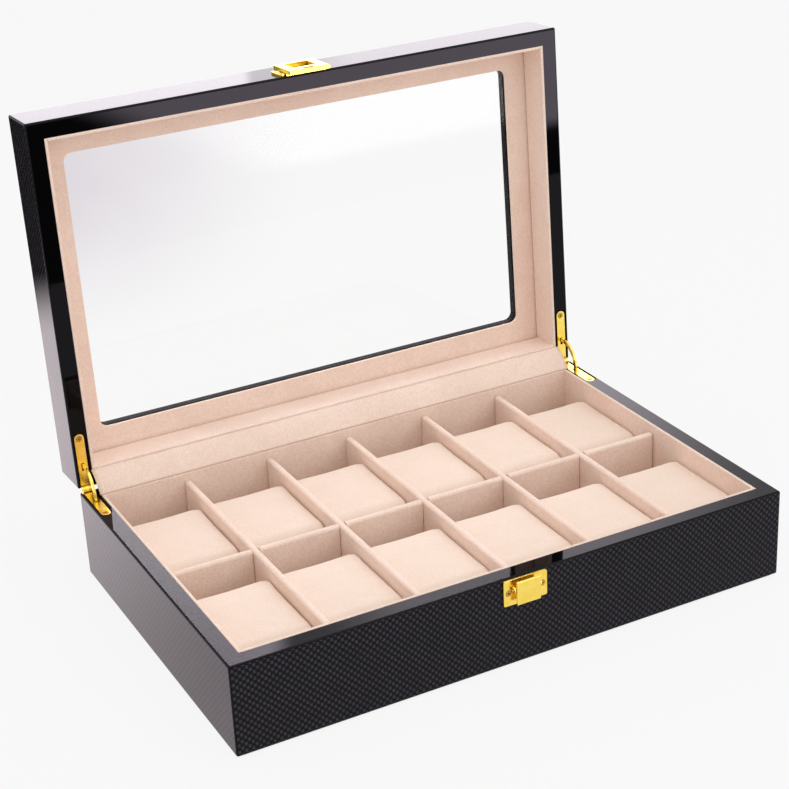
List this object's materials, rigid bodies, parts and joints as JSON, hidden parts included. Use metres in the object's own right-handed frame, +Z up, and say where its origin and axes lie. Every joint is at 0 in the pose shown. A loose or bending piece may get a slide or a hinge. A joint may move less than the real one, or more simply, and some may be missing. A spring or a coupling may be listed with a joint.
{
  "type": "watch box",
  "caption": "Lacquered watch box with a glazed hinged lid on quadrant stays, velvet-lined bays with lift-out pillows and a sprung push catch.",
  "frame": {"origin": "centre of the underside, on the surface that the box stands on", "axes": "+X to the right along the hinge line, +Y to the back, +Z up; the lid is stored open"},
  "size_m": [0.33, 0.2598, 0.2698],
  "materials": {
    "lacquer": "black high-gloss lacquer over fibreboard, with a fine woven-carbon print on the outer faces",
    "velvet": "short peach velvet on board",
    "pillow": "peach suede over foam",
    "felt": "thin black felt",
    "brass": "bright polished gold plate",
    "spring_steel": "drawn wire",
    "glass": "clear float glass"
  },
  "bodies": {
    "base": {"base_left_wall": "lacquer", "base_right_wall": "lacquer", "base_front_wall": "lacquer", "base_back_wall": "lacquer", "base_bottom_panel": "lacquer", "base_liner_left": "velvet", "base_liner_right": "velvet", "base_liner_front": "velvet", "base_liner_back": "velvet", "base_liner_floor": "velvet", "row_divider": "velvet", "cross_divider_1": "velvet", "cross_divider_2": "velvet", "cross_divider_3": "velvet", "cross_divider_4": "velvet", "cross_divider_5": "velvet", "hinge_flap": "velvet", "underside_felt": "felt", "catch_plate": "brass", "catch_pin": "brass", "catch_screws": "brass", "hinge_base_screws": "brass", "catch_spring": "spring_steel", "hinge_left_base_leaf": "brass", "hinge_left_pin": "brass", "hinge_right_base_leaf": "brass", "hinge_right_pin": "brass"},
    "lid": {"lid_left_wall": "lacquer", "lid_right_wall": "lacquer", "lid_front_wall": "lacquer", "lid_back_wall": "lacquer", "lid_top_frame": "lacquer", "lid_liner_left": "velvet", "lid_liner_right": "velvet", "lid_liner_front": "velvet", "lid_liner_back": "velvet", "window_panel": "velvet", "window_glass": "glass", "hasp_plate": "brass", "hasp_screws": "brass", "hinge_lid_screws": "brass", "hinge_left_lid_leaf": "brass", "hinge_right_lid_leaf": "brass"},
    "left_stay": {"hinge_left_stay": "brass"},
    "right_stay": {"hinge_right_stay": "brass"},
    "catch": {"catch_button": "brass"},
    "pillow_back_1": {"pillow_back_1": "pillow"},
    "pillow_back_2": {"pillow_back_2": "pillow"},
    "pillow_back_3": {"pillow_back_3": "pillow"},
    "pillow_back_4": {"pillow_back_4": "pillow"},
    "pillow_back_5": {"pillow_back_5": "pillow"},
    "pillow_back_6": {"pillow_back_6": "pillow"},
    "pillow_front_1": {"pillow_front_1": "pillow"},
    "pillow_front_2": {"pillow_front_2": "pillow"},
    "pillow_front_3": {"pillow_front_3": "pillow"},
    "pillow_front_4": {"pillow_front_4": "pillow"},
    "pillow_front_5": {"pillow_front_5": "pillow"},
    "pillow_front_6": {"pillow_front_6": "pillow"}
  },
  "joints": [
    {"name": "lid_hinge", "type": "hinge", "parent": "base", "child": "lid", "pos_m": [0, 0.1067, 0.05355], "axis": [1, 0, 0], "range_deg": [0, 93.3], "deforming": ["hinge_flap"]},
    {"name": "left_stay_swing", "type": "hinge", "parent": "base", "child": "left_stay", "pos_m": [0, 0.1067, 0.05355], "axis": [1, 0, 0], "range_deg": [0, 46.65]},
    {"name": "right_stay_swing", "type": "hinge", "parent": "base", "child": "right_stay", "pos_m": [0, 0.1067, 0.05355], "axis": [1, 0, 0], "range_deg": [0, 46.65]},
    {"name": "catch_press", "type": "hinge", "parent": "base", "child": "catch", "pos_m": [0, -0.1086, 0.0468], "axis": [1, 0, 0], "range_deg": [0, 12], "stiffness_Nm_per_rad": 0.1, "springref_deg": -8.59, "deforming": ["catch_spring"]},
    {"name": "pillow_back_1_lift", "type": "slide", "parent": "base", "child": "pillow_back_1", "axis": [0, 0, 1], "range_m": [0, 0.03]},
    {"name": "pillow_back_2_lift", "type": "slide", "parent": "base", "child": "pillow_back_2", "axis": [0, 0, 1], "range_m": [0, 0.03]},
    {"name": "pillow_back_3_lift", "type": "slide", "parent": "base", "child": "pillow_back_3", "axis": [0, 0, 1], "range_m": [0, 0.03]},
    {"name": "pillow_back_4_lift", "type": "slide", "parent": "base", "child": "pillow_back_4", "axis": [0, 0, 1], "range_m": [0, 0.03]},
    {"name": "pillow_back_5_lift", "type": "slide", "parent": "base", "child": "pillow_back_5", "axis": [0, 0, 1], "range_m": [0, 0.03]},
    {"name": "pillow_back_6_lift", "type": "slide", "parent": "base", "child": "pillow_back_6", "axis": [0, 0, 1], "range_m": [0, 0.03]},
    {"name": "pillow_front_1_lift", "type": "slide", "parent": "base", "child": "pillow_front_1", "axis": [0, 0, 1], "range_m": [0, 0.03]},
    {"name": "pillow_front_2_lift", "type": "slide", "parent": "base", "child": "pillow_front_2", "axis": [0, 0, 1], "range_m": [0, 0.03]},
    {"name": "pillow_front_3_lift", "type": "slide", "parent": "base", "child": "pillow_front_3", "axis": [0, 0, 1], "range_m": [0, 0.03]},
    {"name": "pillow_front_4_lift", "type": "slide", "parent": "base", "child": "pillow_front_4", "axis": [0, 0, 1], "range_m": [0, 0.03]},
    {"name": "pillow_front_5_lift", "type": "slide", "parent": "base", "child": "pillow_front_5", "axis": [0, 0, 1], "range_m": [0, 0.03]},
    {"name": "pillow_front_6_lift", "type": "slide", "parent": "base", "child": "pillow_front_6", "axis": [0, 0, 1], "range_m": [0, 0.03]}
  ],
  "couplings": [
    {"joint": "left_stay_swing", "follows": "lid_hinge", "ratio": 0.5},
    {"joint": "right_stay_swing", "follows": "lid_hinge", "ratio": 0.5}
  ]
}
